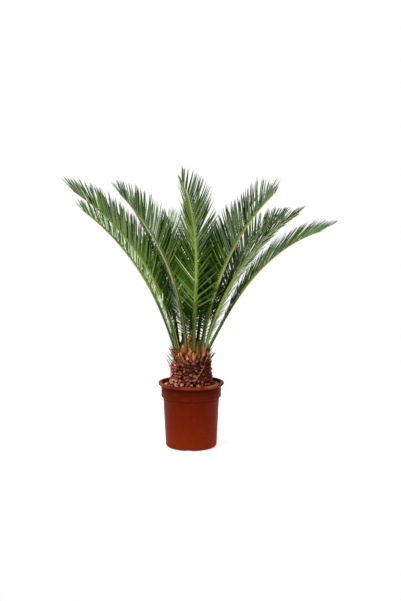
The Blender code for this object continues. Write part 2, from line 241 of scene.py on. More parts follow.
def turnUp(name, profile, segments):
    # a filled circle drawn up ring by ring along a profile of (radius, height), and left closed
    radius, height = profile[0]
    bpy.ops.mesh.primitive_circle_add(
        vertices=segments, radius=radius, fill_type="NGON", location=(0, 0, height))
    piece = bpy.context.object
    piece.name = piece.data.name = name
    bpy.ops.object.transform_apply(location=True, rotation=True, scale=True)
    bpy.ops.object.mode_set(mode="EDIT")
    bpy.ops.mesh.select_all(action="SELECT")
    for newRadius, newHeight in profile[1:]:
        bpy.ops.mesh.extrude_region_move(
            TRANSFORM_OT_translate={"value": (0, 0, newHeight - height)})
        share = newRadius / radius
        bpy.ops.transform.resize(value=(share, share, 1), center_override=(0, 0, newHeight))
        radius, height = newRadius, newHeight
    bpy.ops.mesh.select_all(action="SELECT")
    bpy.ops.mesh.normals_make_consistent(inside=False)
    bpy.ops.object.mode_set(mode="OBJECT")
    return piece


# Pot

pot = dict(
    segments=160,
    rimRadius=0.12, height=0.237, wall=0.0025, floor=0.003,
    footRadius=0.084, footCurve=0.009,
    wallTopRadius=0.1025, collarRadius=0.1095, collarFoot=0.18, collarStep=0.006,
    roll=0.011, lip=0.0035,
    beadHeight=0.1765, beadReach=0.0006, beadHalf=0.0012,
    notches=4, notchWidth=0.026, notchHeight=0.007, notchDepth=0.03, notchCorner=0.003,
    notchCentre=0.092, notchHeading=-96,
    colour=paint(102, 26, 4), shade=paint(86, 20, 3), dust=paint(132, 52, 28),
    collarPaintedShade=paint(56, 10, 2), rimPaintedHighlight=paint(170, 84, 58), footPaintedLight=paint(120, 36, 10),
    # where the last three colours show: (share of the height, share of the colour); the first is painted
    # shade under the rim, the second a painted highlight on the rim, the third painted light towards the foot
    collarShadeFade=((0.5848, 0), (0.8312, 0.4), (0.9451, 1), (0.9536, 0)), rimHighlightFade=((0.9536, 0), (0.99, 1)),
    footLightFade=((0.06, 0.8), (0.5, 0)), rimHighlightPatches=((0.4, 0.05), (0.62, 0.65)), scuffs=((0.56, 0), (0.72, 1)),
    scuffShare=0.16,
)


def arc(radius, height, size, start, end, steps):       # angles above level, in degrees
    turns = [math.radians(mix((start, end), i / steps)) for i in range(steps + 1)]
    return [(radius + size * math.cos(turn), height + size * math.sin(turn)) for turn in turns]


def wallRadius(height):
    foot = pot["footRadius"] + pot["footCurve"]
    return mix((foot, pot["wallTopRadius"]), height / pot["collarFoot"])


def innerWall(gap):                 # from the floor up to the collar, drawn in by the gap
    p = pot
    points = ((p["footRadius"], p["floor"]), (wallRadius(p["footCurve"]), p["footCurve"] + p["floor"]),
              (wallRadius(p["collarFoot"]), p["collarFoot"]),
              (p["collarRadius"], p["collarFoot"] + p["collarStep"]))
    return [(radius - p["wall"] - gap, height + gap) for radius, height in points]


def potProfile():
    p = pot
    rollHalf = p["roll"] / 2
    rollHeight = p["height"] - rollHalf
    rollCentre = p["rimRadius"] - rollHalf
    stepHeight = p["collarFoot"] + p["collarStep"]
    inner = p["collarRadius"] - p["wall"]
    profile = arc(p["footRadius"], p["footCurve"], p["footCurve"], -90, 0, 6)
    for side, reach in ((-1.6, 0), (-0.8, p["beadReach"]), (0.4, p["beadReach"]), (1, 0)):
        height = p["beadHeight"] + side * p["beadHalf"]
        profile.append((wallRadius(height) + reach, height))
    profile += [(p["wallTopRadius"], p["collarFoot"])]
    profile += [(p["wallTopRadius"] + 0.0012, p["collarFoot"] + 0.0002)]
    profile += arc(p["collarRadius"] - 0.0025, stepHeight, 0.0025, -60, 0, 4)
    profile += [(p["collarRadius"], p["height"] - p["roll"] - 0.0012)]
    profile += arc(rollCentre, rollHeight, rollHalf, -78, 90, 14)
    profile += arc(inner + 0.0022, p["height"] - 0.0022, 0.0022, 90, 180, 4)
    return profile + innerWall(0)[::-1]


def potPlastic():
    plastic = Finish("potPlastic", {"Roughness": 0.34, "Specular IOR Level": 0.015})
    cloud = plastic.grain(0.07, 2)
    flow = plastic.grain(0.012, 3, plastic.stretched(1, 1, 0.12))
    speck = plastic.grain(0.0016, 2)
    height = plastic.add("SeparateXYZ", {}, {"Vector": plastic.place}, 2) * (1 / pot["height"])
    body = plastic.blend(cloud * 0.7 + flow * 0.3, pot["shade"], pot["colour"])
    # painted light: the body grows lighter towards the foot, as if lit from the floor below
    body = plastic.blend(plastic.fade(height, *pot["footLightFade"]), body, pot["footPaintedLight"])
    # painted shade: the collar is darkened most just beneath the rim roll
    body = plastic.blend(plastic.fade(height, *pot["collarShadeFade"]), body, pot["collarPaintedShade"])
    # painted highlight: lighter patches along the top of the rim
    rimHighlightShare = plastic.fade(height, *pot["rimHighlightFade"]) * plastic.fade(cloud, *pot["rimHighlightPatches"])
    body = plastic.blend(rimHighlightShare, body, pot["rimPaintedHighlight"])
    scuffs = plastic.fade(plastic.grain(0.02, 8), *pot["scuffs"])
    plastic.fill(plastic.shader, {
        "Base Color": plastic.blend(scuffs * pot["scuffShare"], body, pot["dust"]),
        "Roughness": 0.30 + 0.16 * cloud + 0.10 * scuffs,
    })
    plastic.bump(0.5 * flow + 0.5 * speck, 0.25, 0.0004)
    return plastic


def makePot():
    p = pot
    piece = turnUp("pot_shell", potProfile(), p["segments"])
    for i in range(p["notches"]):
        heading = p["notchHeading"] + 360 * i / p["notches"]
        bpy.ops.mesh.primitive_cube_add(
            size=1, location=polar(p["notchCentre"], heading, 0), rotation=(0, 0, math.radians(heading)),
            scale=(p["notchDepth"], p["notchWidth"], 2 * p["notchHeight"]))
        cutter = bpy.context.object
        bpy.ops.object.transform_apply(location=False, rotation=False, scale=True)
        bevel = cutter.modifiers.new("corners", "BEVEL")
        bevel.width, bevel.segments, bevel.limit_method = p["notchCorner"], 5, "ANGLE"
        bpy.ops.object.modifier_apply(modifier=bevel.name)
        selectOnly(piece)
        cut = piece.modifiers.new("notch", "BOOLEAN")
        cut.operation, cut.solver, cut.object = "DIFFERENCE", "EXACT", cutter
        bpy.ops.object.modifier_apply(modifier=cut.name)
        bpy.data.objects.remove(cutter)
    piece.data.materials.clear()
    finishPiece(piece, [potPlastic()], "pot", 40)


# Compost and stones

compost = dict(
    height=0.229, flat=0.0765, edge=0.221, gap=0.0003, rings=10, relief=0.0035, grain=0.012, seed=11,
    stones=40, stoneRing=(0.084, 0.1), stoneSize=(0.004, 0.0072), stoneSeat=(0, 0.003),
    # heading, distance from the axis, half size and colour of the stones that show over the rim
    front=((-168, 0.092, 0.0068, "sand"), (-160, 0.099, 0.005, "cream"), (-148, 0.094, 0.006, "sand"),
           (-136, 0.091, 0.0058, "rust"), (-125, 0.092, 0.007, "cream"), (-114, 0.091, 0.0066, "sand"),
           (-104, 0.09, 0.0062, "rust"), (-94, 0.09, 0.0072, "olive"), (-82, 0.09, 0.006, "peat"),
           (-71, 0.09, 0.007, "rose"), (-60, 0.091, 0.0066, "rust"), (-48, 0.092, 0.0062, "peat"),
           (-36, 0.093, 0.006, "rust"), (-22, 0.095, 0.0076, "olive"), (-8, 0.094, 0.0064, "olive")),
    frontSeat=0.0045, backArc=(-8, 176), strewnShare=0.3,
    grit=700, gritRing=(0.078, 0.1045), gritSize=(0.0009, 0.0028),
    # how often each of the colours below is dealt to a stone and to a crumb of grit
    stoneColours=(4, 3, 4, 3, 3, 1), gritColours=(2, 1, 2, 4, 6, 0),
    earth=paint(46, 34, 27), crumbs=paint(92, 68, 48),
)
stoneColours = dict(
    sand=paint(214, 178, 120), cream=paint(212, 190, 146), olive=paint(128, 116, 78),
    rust=paint(132, 70, 36), peat=paint(66, 40, 24), rose=paint(196, 128, 104),
)


def earthFinish():
    earth = Finish("compostEarth", {"Roughness": 0.95, "Specular IOR Level": 0.1})
    earth.mottle(earth.grain(0.003, 6), compost["earth"], compost["crumbs"], (0.42, 0.62))
    earth.bump(earth.grain(0.0035, 8) + 0.5 * earth.cells(0.005), 0.9, 0.0025)
    return earth


def stoneFinish(name, colour):
    stone = Finish(name, {"Roughness": 0.8, "Specular IOR Level": 0.2})
    return stone.mottle(stone.grain(0.0022, 6), toned(colour, 0.55), colour,
                        (0.35, 0.65), (0.62, 0.3), (0.5, 0.0006))


def earthTop(radius):           # level under the caudex, falling towards the pot
    c = compost
    outer = pot["collarRadius"] - pot["wall"]
    slope = max(0.0, (radius - c["flat"]) / (outer - c["flat"]))
    return mix((c["height"], c["edge"]), slope)


def makeCompost():
    c = compost
    gap = c["gap"]
    profile = innerWall(gap)
    innerTop = profile[-1][0]
    for start, end in ((innerTop, c["flat"]), (c["flat"], 0.004)):
        radii = [mix((start, end), i / c["rings"]) for i in range(c["rings"])]
        profile += [(radius, earthTop(radius) - gap) for radius in radii]
    piece = turnUp("compost_bed", profile + [(0.004, c["height"] - gap)], 96)
    top = piece.vertex_groups.new(name="top")
    for vert in piece.data.vertices:
        reach = vert.co.xy.length
        if vert.co.z > c["edge"] - 0.002 and reach < innerTop - 0.0005:
            top.add([vert.index], min(1.0, (innerTop - reach) / 0.01), "REPLACE")
    lumps = bpy.data.textures.new("lumps", "CLOUDS")
    lumps.noise_scale, lumps.noise_depth = c["grain"], 4
    swell = piece.modifiers.new("lumps", "DISPLACE")
    swell.texture, swell.texture_coords, swell.direction = lumps, "LOCAL", "Z"
    swell.strength, swell.mid_level, swell.vertex_group = c["relief"] * 2, 0.5, "top"
    selectOnly(piece)
    bpy.ops.object.modifier_apply(modifier=swell.name)
    finishPiece(piece, [earthFinish()], "compost", 60)


def addStone(heap, middle, size, subdivisions, slot, rng):
    bm = bmesh.new()
    bmesh.ops.create_icosphere(bm, subdivisions=subdivisions, radius=1)
    squash = Vector((rng.uniform(0.7, 1.0), 1.0, rng.uniform(0.55, 0.85)))
    shift = Vector((rng.uniform(0, 50), 0, 0))
    turn = rng.uniform(0, 2 * math.pi)
    first = len(heap.points)
    for vert in bm.verts:
        bulge = 1 + 0.3 * noise.noise(vert.co * 1.3 + shift)
        local = vert.co * squash * size * bulge
        heap.points.append(middle + Vector((local.x * math.cos(turn) - local.y * math.sin(turn),
                                            local.x * math.sin(turn) + local.y * math.cos(turn), local.z)))
    for face in bm.faces:
        heap.faces.append(tuple(first + vert.index for vert in face.verts))
        heap.slots.append(slot)
    bm.free()


def makeStones():
    c = compost
    rng = random.Random(c["seed"])
    heap = Heap()
    names = list(stoneColours)
    for heading, reach, size, colour in c["front"]:
        middle = polar(reach, heading, earthTop(reach) + c["frontSeat"])
        addStone(heap, middle, size, 2, names.index(colour), rng)
    for i in range(c["stones"]):
        size = mix(c["stoneSize"], rng.random())
        heading = mix(c["backArc"], (i + 0.6 * rng.random()) / c["stones"])
        if rng.random() < c["strewnShare"]:
            heading = rng.uniform(0, 360)
        reach = mix(c["stoneRing"], rng.random())
        middle = polar(reach, heading, earthTop(reach) + mix(c["stoneSeat"], rng.random()))
        addStone(heap, middle, size, 2, rng.choices(range(6), c["stoneColours"])[0], rng)
    for i in range(c["grit"]):
        size = mix(c["gritSize"], rng.random() ** 2)
        reach = mix(c["gritRing"], rng.random())
        middle = polar(reach, rng.uniform(0, 360), earthTop(reach) + size * 0.4)
        addStone(heap, middle, size, 1, rng.choices(range(6), c["gritColours"])[0], rng)
    finishes = [stoneFinish(name + "Stone", colour) for name, colour in stoneColours.items()]
    heap.makePiece("compost_stones", finishes, "compost", 45)


# Frond rule, the same as in the part's source

fronds = dict(
    # heading, seat, foot rise, tip rise, bend, sway, length, roll, spread, tip loss, place where
    # the loss begins, share of the usual lift, seat radius
    plans=(
        (-2, -4, 63, 16, 1.9, -2.5, 0.62, (-5, -8), 0.86, 0.35, 0.7, 0.78, 0.0565),
        (-39.5, -31, 70.2, 26.9, 1.42, 4.4, 0.661, (36, 52), 0.95, 0.6, 0.72, 0.05, 0.053),
        (-55.4, -55, 72.2, 34.1, 1.26, 5.8, 0.713, (0, 0), 0.98, 0.9, 0.86, 1, 0.053),
        (-82.5, -83, 69.5, 41.5, 1.5, -34, 0.733, (0, 0), 1.15, 0.6, 0.76, 1, 0.053),
        (-131.8, -107, 87, 39.5, 0.89, -8.8, 0.666, (0, 10), 1, 0.5, 0.74, 0.9, 0.053),
        (-161.1, -145, 78.4, 33.4, 1.115, -6.8, 0.709, (0, 0), 1.05, 0.45, 0.7, 1, 0.053),
        (-168.1, -168, 73.8, 36.6, 1.22, 5.2, 0.625, (0, 30), 0.95, 0.62, 0.7, 1, 0.056),
        (164, 169, 80, 34, 1.2, -4, 0.635, (0, 0), 1, 0.62, 0.7, 0.8, 0.053),
        (130, 146, 80, 36, 1.2, 4, 0.655, (0, 0), 1, 0.62, 0.7, 1, 0.053),
        (104, 121, 76, 30, 1.2, -6, 0.6, (0, 0), 1, 0.62, 0.7, 1, 0.05),
        (88, 90, 84, 44, 1.2, -4, 0.6, (0, 0), 1, 0.62, 0.7, 1, 0.044),
        (71, 65, 74, 25, 1.2, 4, 0.57, (0, 0), 1, 0.62, 0.7, 1, 0.05),
        (54, 41, 80, 33, 1.2, -5, 0.645, (0, 0), 1, 0.62, 0.7, 0.8, 0.053),
        (27, 18, 76, 27, 1.3, 4, 0.615, (0, 0), 1, 0.62, 0.7, 1, 0.053),
    ),
    crownHeight=0.3453, steps=48, ribWidth=(0.0155, 0.002), ribDepth=(0.012, 0.002),
    stalkFlare=1.15, bareStalk=0.11, broadRibs={1: 1.4}, broadFrom=0.2,
)


class Rib:
    def __init__(self, index, plan):
        self.broad = fronds["broadRibs"].get(index, 1.0)
        (self.heading, self.seat, self.footRise, self.tipRise, self.bend, self.sway, self.length,
         self.roll, self.spread, self.tipLoss, self.lossFrom, self.liftShare, self.seatRadius) = plan
        step = self.length / fronds["steps"]
        self.points = [polar(self.seatRadius, self.seat, fronds["crownHeight"])]
        for i in range(fronds["steps"]):
            self.points.append(self.points[-1] + self.along((i + 0.5) / fronds["steps"]) * step)

    def along(self, place):
        rise = mix((self.footRise, self.tipRise), place ** self.bend)
        return aimed(self.heading + self.sway * place ** 2, rise)

    def at(self, place):        # point, direction, upper side and right-hand side
        step = min(int(place * fronds["steps"]), fronds["steps"] - 1)
        point = self.points[step].lerp(self.points[step + 1], place * fronds["steps"] - step)
        along = self.along(place)
        over = (up - along * along.z).normalized()
        right = along.cross(over)
        roll = math.radians(mix(self.roll, place))
        return (point, along, over * math.cos(roll) + right * math.sin(roll),
                right * math.cos(roll) - over * math.sin(roll))

    def size(self, place):      # half width and half depth of the rib
        flare = 1 + (fronds["stalkFlare"] - 1) * max(0.0, 1 - place / 0.06) ** 2
        flare *= mix((1.0, self.broad), min(1.0, place / fronds["broadFrom"]))
        return (flare * mix(fronds["ribWidth"], place ** 0.9) / 2,
                flare * mix(fronds["ribDepth"], place) / 2)

    def ring(self, place, around, power=2.4):
        point, along, over, right = self.at(place)
        wide, deep = self.size(place)
        corners = [point + right * wide * x + over * deep * y for x, y in squarish(around, 2 / power)]
        if place == 0:
            corners = [corner - along * ((corner.z - point.z) / along.z) for corner in corners]
        return corners


ribs = [Rib(index, plan) for index, plan in enumerate(fronds["plans"])]


# Ribs of the fronds

ribLook = dict(
    stations=64, around=10, footEnd=0.02, stalkEnd=0.22, lowEnd=0.34, stagger=0.06,
    # stalkPaintedHighlight is a pale colour painted along two edges of each stalk as a highlight
    stalk=paint(42, 54, 8), stalkPaintedHighlight=paint(152, 166, 108), low=paint(78, 88, 26),
    high=paint(124, 144, 60), foot=paint(112, 76, 34), footDark=paint(60, 44, 14),
    # the fronds whose ribs differ, and their colours
    tanFronds=(0, 2, 4), tan=paint(148, 144, 96),
    brightFronds=(1,), bright=paint(172, 196, 96), paleStalk=paint(112, 130, 66),
)


def ribFinish(name, colour, contrast):
    rib = Finish(name, {"Roughness": 0.4, "Specular IOR Level": 0.08})
    return rib.mottle(rib.grain(0.005, 3), toned(colour, 1 - contrast), toned(colour, 1 + contrast),
                      roughness=(0.32, 0.18), bump=(0.2, 0.0005))


def stalkFootFinish():
    foot = Finish("stalkFoot", {"Roughness": 0.9, "Specular IOR Level": 0.1})
    return foot.mottle(foot.grain(0.0025, 6), ribLook["footDark"], ribLook["foot"], bump=(0.6, 0.001))


def ribSlot(place, corner):     # felted foot, dark stalk with painted highlights along two edges and an underside of its own, then a brighter rib
    look = ribLook
    if place < look["footEnd"]:
        return 4
    if place < look["stalkEnd"]:
        # corners 0 and 4 take the painted highlight
        return 1 if corner in (0, 4) else 5 if corner in (6, 7) else 0
    if place < look["lowEnd"] + look["stagger"] * math.sin(3 * corner):
        return 3 if corner == 2 else 2
    return 3


def makeRibs():
    look = ribLook
    contrasts = dict(stalk=0.45, stalkPaintedHighlight=0.3, low=0.4, high=0.3, tan=0.3, bright=0.3, paleStalk=0.3)
    # edge is the finish of the stalks' painted highlight
    stalk, edge, low, high, tan, bright, paleStalk = (
        ribFinish(name + "Rib", look[name], contrast) for name, contrast in contrasts.items())
    foot = stalkFootFinish()
    for i, rib in enumerate(ribs, start=1):
        own = [stalk, edge, low, tan if i - 1 in look["tanFronds"] else high, foot, low]
        if i - 1 in look["brightFronds"]:
            # on this frond the stalk's underside takes the dark stalk colour as painted shade
            own = [paleStalk, edge, bright, bright, foot, stalk]
        heap = Heap()
        places = [(k / look["stations"]) ** 1.15 for k in range(look["stations"] + 1)]
        rings = [rib.ring(place, look["around"]) for place in places]
        point, along = rib.at(1.0)[:2]
        heap.addTube(rings, lambda step, corner: ribSlot(places[step], corner), point + along * 0.003)
        heap.makePiece(f"frond_{i:02d}_rib", own, f"frond_{i:02d}")


# Leaflets

leaflets = dict(
    pairs=80, length=0.128, fill=1.15, curl=0.14, last=0.985, seed=7,
    # place up each rib where its lowest leaflets stand
    first=(0.05, 0.07, 0.07, 0.06, 0.1, 0.06, 0.1, 0.17, 0.18, 0.07, 0.06, 0.13, 0.18, 0.17),
    # rows of some fronds that lie closer to the rib, or end shorter: (frond, side)
    laid={(0, 1): ((1, 0.84),), (0, -1): ((1, 0.86),), (1, 1): ((1, 0.78),), (1, -1): ((1, 0.8),),
          (3, 1): ((0.4, 0.86), (0.65, 0.62), (1, 0.5))},
    trim={(1, 1): ((0, 1), (0.55, 0.9), (0.8, 0.42), (1, 0.3)),
          (1, -1): ((0, 1), (0.35, 0.85), (0.5, 0.64), (0.8, 0.68), (1, 0.8)),
          (3, 1): ((0, 1), (0.86, 1), (1, 0.5))},
    seat={(1, 1): -0.8},        # where a row sits on its rib's depth, if not near the top
    growth=((0.05, 0.1), (0.11, 0.2), (0.17, 0.37), (0.23, 0.6), (0.3, 0.8), (0.42, 1)),
    angle=((0.06, 64), (0.2, 54), (0.35, 48), (0.6, 41), (0.85, 34), (1, 20)),
    lift=((0.11, 20), (0.4, 38), (0.7, 48), (1, 58)),
    lossCurve=1.3,
    spacing=((0.06, 1.6), (0.15, 1.25), (0.25, 1), (1, 0.92)),
    angleStray=2.4, liftStray=4, lengthStray=0.06, twistStray=12, droop=(-0.1, 0.07),
    lowDroop=((0.06, -0.9), (0.2, -0.6), (0.34, 0)),
    # fronds and rows whose leaflets take the palest shades as a painted sheen, and the place below which they
    # take the darkest as painted shade
    paintedSheenFronds=(9, 11), paintedSheenRows=((1, 1), (4, 1), (6, 1), (6, -1)), paintedShadeBelow=0.24,
    freshRows=((3, 1),), greyFrom=0.55, greyShare=0.45,
    # how bright a leaflet is: at the rib's foot, more at its tip as painted light, by patches of the crown,
    # by chance
    light=0.23, paintedLightUp=0.28, lightPatch=0.3, patchScale=11, lightStray=0.36,
    tries=((1, 0), (1, -8), (1, 8), (0.93, -15), (0.93, 15), (0.8, 0), (0.66, 0), (0.5, 0)),
    widest=((0.06, 0.003), (0.2, 0.0046), (0.34, 0.009)),
    # place along a leaflet, and its width there against the widest
    outline=((0, 0.42), (0.07, 0.72), (0.25, 0.98), (0.5, 1), (0.75, 0.78), (0.92, 0.36)),
    # corners of a leaflet's section against its width: across, and towards its upper face
    section=((0.5, -0.17), (0.27, 0.03), (0, -0.01), (-0.27, 0.03), (-0.5, -0.17), (0, -0.2)),
)
greens = dict(      # from dark to bright, the brightest a painted sheen of reflected light, then the yellower foot of each leaflet, and a greyer one
    deep=paint(18, 38, 0), dark=paint(34, 58, 6), middle=paint(60, 88, 22),
    fresh=paint(98, 124, 60), paintedSheen=paint(182, 200, 170), foot=paint(104, 124, 40), grey=paint(104, 122, 88),
)


def leafFinish(name, colour):
    leaf = Finish(name, {"Roughness": 0.4, "Specular IOR Level": 0.02})
    return leaf.mottle(leaf.grain(0.008, 3), toned(colour, 0.72), toned(colour, 1.25), roughness=(0.32, 0.16))


class Leaflet:
    def __init__(self, index, rib, place, side, rng):
        l, plain = leaflets, ((1, 1.0),)
        self.rib, self.place, self.side = rib, place, side
        self.seat = l["seat"].get((index, side), 0.45)
        self.point, self.along, self.over, self.right = rib.at(place)
        self.angle = readTable(l["angle"], place) * rib.spread
        self.angle *= readTable(l["laid"].get((index, side), plain), place)
        self.angle += rng.gauss(0, l["angleStray"])
        self.lift = readTable(l["lift"], place) * rib.liftShare + rng.gauss(0, l["liftStray"])
        loss = max(0.0, (place - rib.lossFrom) / (1 - rib.lossFrom))
        size = readTable(l["growth"], place) * (1 - rib.tipLoss * loss ** l["lossCurve"])
        size *= readTable(l["trim"].get((index, side), plain), place)
        self.length = l["length"] * size * (1 + rng.uniform(-1, 0.4) * l["lengthStray"])
        self.twist = math.radians(rng.gauss(0, l["twistStray"]))
        self.droop = rng.uniform(*l["droop"]) + readTable(l["lowDroop"], place) * rng.uniform(0.6, 1.1)
        pitch = rib.length * (1 - fronds["bareStalk"]) / l["pairs"]
        self.width = pitch * math.sin(math.radians(max(self.angle, 30))) * l["fill"]
        self.width = min(self.width, readTable(l["widest"], place))

    def frameFor(self, liftShift):
        lift = math.radians(self.lift + liftShift)
        angle = math.radians(self.angle)
        off = self.right * self.side * math.cos(lift) + self.over * math.sin(lift)
        return self.along * math.cos(angle) + off * math.sin(angle)

    def spine(self, reach, liftShift, places):      # points and directions along the middle line
        out = self.frameFor(liftShift)
        wide, deep = self.rib.size(self.place)
        point = self.point + self.right * self.side * wide * 0.55 + self.over * deep * self.seat
        length, before = self.length * reach, 0.0
        points, headings = [], []
        for place in places:
            middle = (before + place) / 2
            heading = (out + self.along * leaflets["curl"] * middle ** 1.5
                       + self.over * self.droop * middle).normalized()
            point = point + heading * (length * (place - before))
            points.append(point.copy())
            headings.append(heading)
            before = place
        return points, headings

    def guard(self, reach, liftShift):              # a coarse stand-in that is tested for clashes
        points, headings = self.spine(reach, liftShift, (0.12, 0.5, 1.0))
        across = (self.along - headings[1] * self.along.dot(headings[1])).normalized()
        half = across * self.width * 0.4
        corners = [points[0] - half, points[0] + half, points[1] - half, points[1] + half, points[2]]
        return corners, [(0, 1, 3, 2), (2, 3, 4)]

    def rings(self, reach, liftShift):
        places = [place for place, _ in leaflets["outline"]] + [1.0]
        points, headings = self.spine(reach, liftShift, places)
        rings = []
        for (place, share), point, out in zip(leaflets["outline"], points, headings):
            across = (self.along - out * self.along.dot(out)).normalized()
            thick = across.cross(out)
            if thick.dot(self.over) < 0:
                thick = -thick
            turn = self.twist * place
            across, thick = (across * math.cos(turn) + thick * math.sin(turn),
                             thick * math.cos(turn) - across * math.sin(turn))
            width = self.width * share
            rings.append([point + across * width * x + thick * width * y for x, y in leaflets["section"]])
        return rings, points[-1]


def ribShell(rib):
    points = [corner for k in range(25) for corner in rib.ring(k / 24, 4, 2.0)]
    faces = [(4 * i + k, 4 * i + (k + 1) % 4, 4 * i + 4 + (k + 1) % 4, 4 * i + 4 + k)
             for i in range(24) for k in range(4)]
    return points, faces


def treeOf(shells):
    points, faces = [], []
    for shellPoints, shellFaces in shells:
        first = len(points)
        points += shellPoints
        faces += [tuple(first + i for i in face) for face in shellFaces]
    return BVHTree.FromPolygons(points, faces)


def leafSlots(index, leaflet, rng):     # one shade for each of the six faces round a leaflet
    look = leaflets
    # painted sheen: the palest shades stand in for light reflected off the leaflets' gloss
    if index in look["paintedSheenFronds"]:
        return [4, rng.choice((3, 4))] * 3
    if (index, leaflet.side) in look["paintedSheenRows"]:
        shades = [rng.choice((4, 4, 3, 2)) for _ in range(4)]
    elif (index, leaflet.side) in look["freshRows"] and leaflet.place > look["greyFrom"]:
        shades = [rng.choice((2, 3, 5)) for _ in range(4)]
    # painted shade: leaflets low on the rib, inside the crown, take the darkest greens
    elif leaflet.place < look["paintedShadeBelow"]:
        shades = [rng.choice((0, 0, 1)) for _ in range(4)]
    else:
        # painted light: leaflets grow lighter towards the rib's tip
        light = look["light"] + look["paintedLightUp"] * leaflet.place
        light += look["lightPatch"] * noise.noise(leaflet.point * look["patchScale"])
        strays = [rng.uniform(-look["lightStray"], look["lightStray"]) for _ in range(4)]
        shades = [min(4, max(0, int(5 * (light + stray)))) for stray in strays]
        if leaflet.place > look["greyFrom"]:
            shades = [6 if rng.random() < look["greyShare"] else shade for shade in shades]
    return [shades[k] for k in (0, 0, 1, 1, 2, 3)]


def makeLeaflets():
    l = leaflets
    rng = random.Random(l["seed"])
    finishes = [leafFinish("leaf" + name.capitalize(), colour) for name, colour in greens.items()]
    grown = [[ribShell(rib)] for rib in ribs]       # what the leaflets of other fronds keep clear of
    pitch = (l["last"] - fronds["bareStalk"]) / l["pairs"]
    for index, rib in enumerate(ribs):
        heap = Heap()
        others = treeOf([shell for k, own in enumerate(grown) if k != index for shell in own])
        place = l["first"][index] + rng.uniform(0, 0.02)
        while place < l["last"]:
            for side in (1, -1):
                leaflet = Leaflet(index, rib, place + rng.uniform(-0.15, 0.15) * pitch, side, rng)
                shades = leafSlots(index, leaflet, rng)
                for reach, shift in l["tries"]:
                    guard = leaflet.guard(reach, shift)
                    if not others.overlap(BVHTree.FromPolygons(*guard)):
                        grown[index].append(guard)
                        rings, tip = leaflet.rings(reach, shift)
                        heap.addTube(rings, lambda step, corner: 5 if step == 0 else shades[corner], tip)
                        break
            place += pitch * readTable(l["spacing"], place)
        node = f"frond_{index + 1:02d}"
        heap.makePiece(node + "_leaflets", finishes, node, 75)


# Caudex

caudex = dict(
    foot=0.229, crown=0.345, footRadius=0.0745, belly=0.0035, crownRadius=0.0595, sunk=0.008,
    # old leaf bases: (low on the caudex, high on it), then how far apart they are, across and up
    wide=(0.0164, 0.0124), tall=(0.0114, 0.008), reach=(0.0045, 0.008), tilt=(14, 62),
    apart=(0.0114, 0.0086),
    throws=9000, topShare=0.95, around=14, seed=5, rough=0.0022,
    lowStages=((0, 1), (0.45, 1.04), (0.74, 0.98), (0.91, 0.82), (1, 0.55), (0.985, 0.25)),
    highStages=((0, 1), (0.4, 0.98), (0.64, 0.82), (0.82, 0.56), (0.94, 0.28), (1, 0.08)),
    spines=84, spineReach=(0.024, 0.05), spineWidth=(0.0034, 0.0052), spineFrom=0.36, spineSlope=(38, 66),
    fibres=240, fibreReach=(0.005, 0.013), fibreWidth=0.0006, fibreSlope=(-10, 60), strawShare=0.35,
    stalkRoom=0.009,
    rootlet=((0.0122, -0.087, 0.254), (0.035, -0.081, 0.281), (0.047, -0.068, 0.306)),
    rootletWidth=0.001,
    # how pale a leaf base is: to start with, more to the left as painted light, less higher up, by chance
    light=0.37, paintedLightLeft=0.46, lightHigh=0.46, lightStray=0.24, palest=(0.66, 0.36, 0.16),
)
barkColours = dict(
    side=paint(82, 28, 10), salmon=paint(206, 136, 114), rose=paint(148, 76, 62),
    plum=paint(80, 36, 36), umber=paint(112, 56, 36), clay=paint(146, 94, 68),
)
spineColours = dict(spine=paint(46, 38, 22), straw=paint(200, 158, 116))


def barkFinish(name, colour, contrast, grainSize, roughness):
    bark = Finish(name, {"Roughness": roughness, "Specular IOR Level": 0.06})
    fibres = 0.6 * bark.grain(grainSize, 4, bark.stretched(1, 1, 0.5)) + 0.4 * bark.grain(grainSize * 0.4, 4)
    return bark.mottle(fibres, toned(colour, 1 - contrast), toned(colour, 1 + contrast),
                       (0.36, 0.64), (roughness - 0.1, 0.2), (0.9, 0.0018))


def caudexProfile(share):
    c = caudex
    radius = mix((c["footRadius"], c["crownRadius"]), share)
    return radius + c["belly"] * math.sin(math.pi * share), mix((c["foot"], c["crown"]), share)


stalkPoints = [rib.at(fronds["bareStalk"] * i / 24)[0] for rib in ribs for i in range(25)]


def hasRoom(point, room):
    return all((point - stalk).length > room for stalk in stalkPoints)


def baseSlot(heading, share, rng):      # lower left is palest, partly as painted light from the left, the upper band darkest
    c = caudex
    left = 0.5 - 0.5 * math.cos(math.radians(heading + 20))
    light = c["light"] + c["paintedLightLeft"] * left - c["lightHigh"] * share
    light += rng.uniform(-c["lightStray"], c["lightStray"])
    pale, middle, dark = c["palest"]
    if light > pale:
        return 1
    if light > middle:
        return rng.choice((2, 2, 5))
    return rng.choice((4, 3, 3)) if light < dark else rng.choice((2, 4, 3))


def waver(point):       # noise for each axis; Blender's noise_vector isn't the same on every run
    return Vector([noise.noise(point + Vector((apart, 0, 0))) for apart in (0, 31.7, 67.3)])


def basePlaces(rng):                    # strewn over the barrel, no two closer than apart
    c = caudex
    places = []
    for _ in range(c["throws"]):
        share, heading = rng.uniform(0, c["topShare"]), rng.uniform(-180, 180)
        radius, height = caudexProfile(share)
        across, above = c["apart"][0] * mix((1.06, 0.9), share), c["apart"][1]
        steps = ((math.radians((heading - other[0] + 180) % 360 - 180) * radius / across,
                  (height - other[1]) / above) for other in places)
        if all(x ** 2 + y ** 2 >= 1 for x, y in steps):
            places.append((heading, height, share))
    return places


